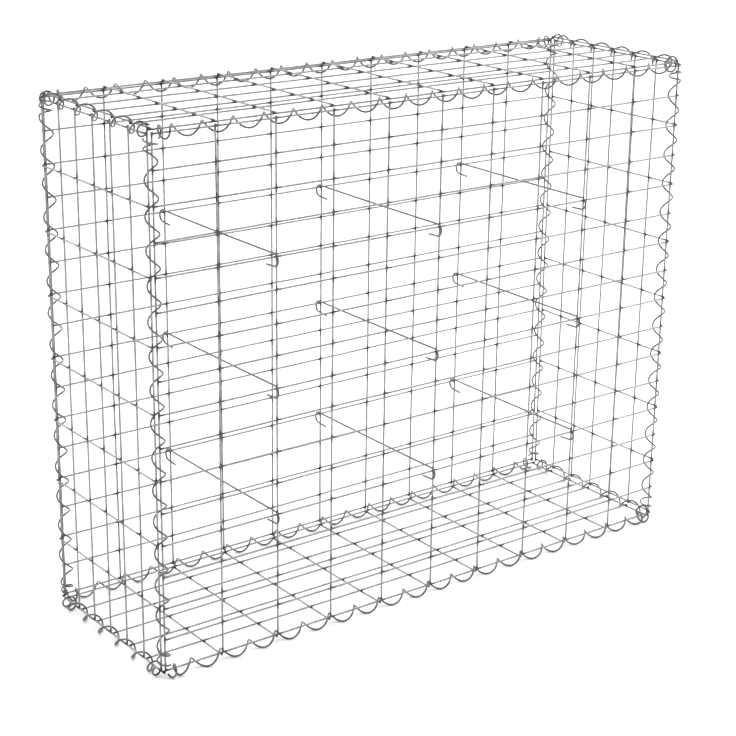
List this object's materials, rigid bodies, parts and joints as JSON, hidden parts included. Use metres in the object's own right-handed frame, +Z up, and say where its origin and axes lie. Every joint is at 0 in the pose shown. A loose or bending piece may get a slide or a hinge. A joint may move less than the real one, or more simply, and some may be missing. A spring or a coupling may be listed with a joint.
{
  "type": "gabion basket",
  "caption": "Upright box of welded wire mesh for filling with stone: mesh sides, ends, base and lid laced along every edge by wire spirals, with hooked tie wires from front to back.",
  "frame": {"origin": "on the ground under the middle of the basket", "axes": "+X along the length, front mesh facing -Y, +Z up"},
  "size_m": [1.0318, 0.3328, 0.8296],
  "materials": {
    "mesh_wire": "hot-dip galvanised, dull silver grey",
    "spiral_wire": "galvanised spring wire, a little darker",
    "tie_wire": "galvanised tie wire"
  },
  "bodies": {
    "root": {"front_panel": "mesh_wire", "back_panel": "mesh_wire", "left_end_panel": "mesh_wire", "right_end_panel": "mesh_wire", "base_panel": "mesh_wire", "lid_panel": "mesh_wire", "corner_spiral_front_left": "spiral_wire", "corner_spiral_front_right": "spiral_wire", "corner_spiral_back_left": "spiral_wire", "corner_spiral_back_right": "spiral_wire", "base_spiral_front": "spiral_wire", "base_spiral_back": "spiral_wire", "base_spiral_left": "spiral_wire", "base_spiral_right": "spiral_wire", "lid_spiral_front": "spiral_wire", "lid_spiral_back": "spiral_wire", "lid_spiral_left": "spiral_wire", "lid_spiral_right": "spiral_wire", "tie_low_left": "tie_wire", "tie_low_middle": "tie_wire", "tie_low_right": "tie_wire", "tie_mid_left": "tie_wire", "tie_mid_middle": "tie_wire", "tie_mid_right": "tie_wire", "tie_top_left": "tie_wire", "tie_top_middle": "tie_wire", "tie_top_right": "tie_wire"}
  },
  "joints": []
}
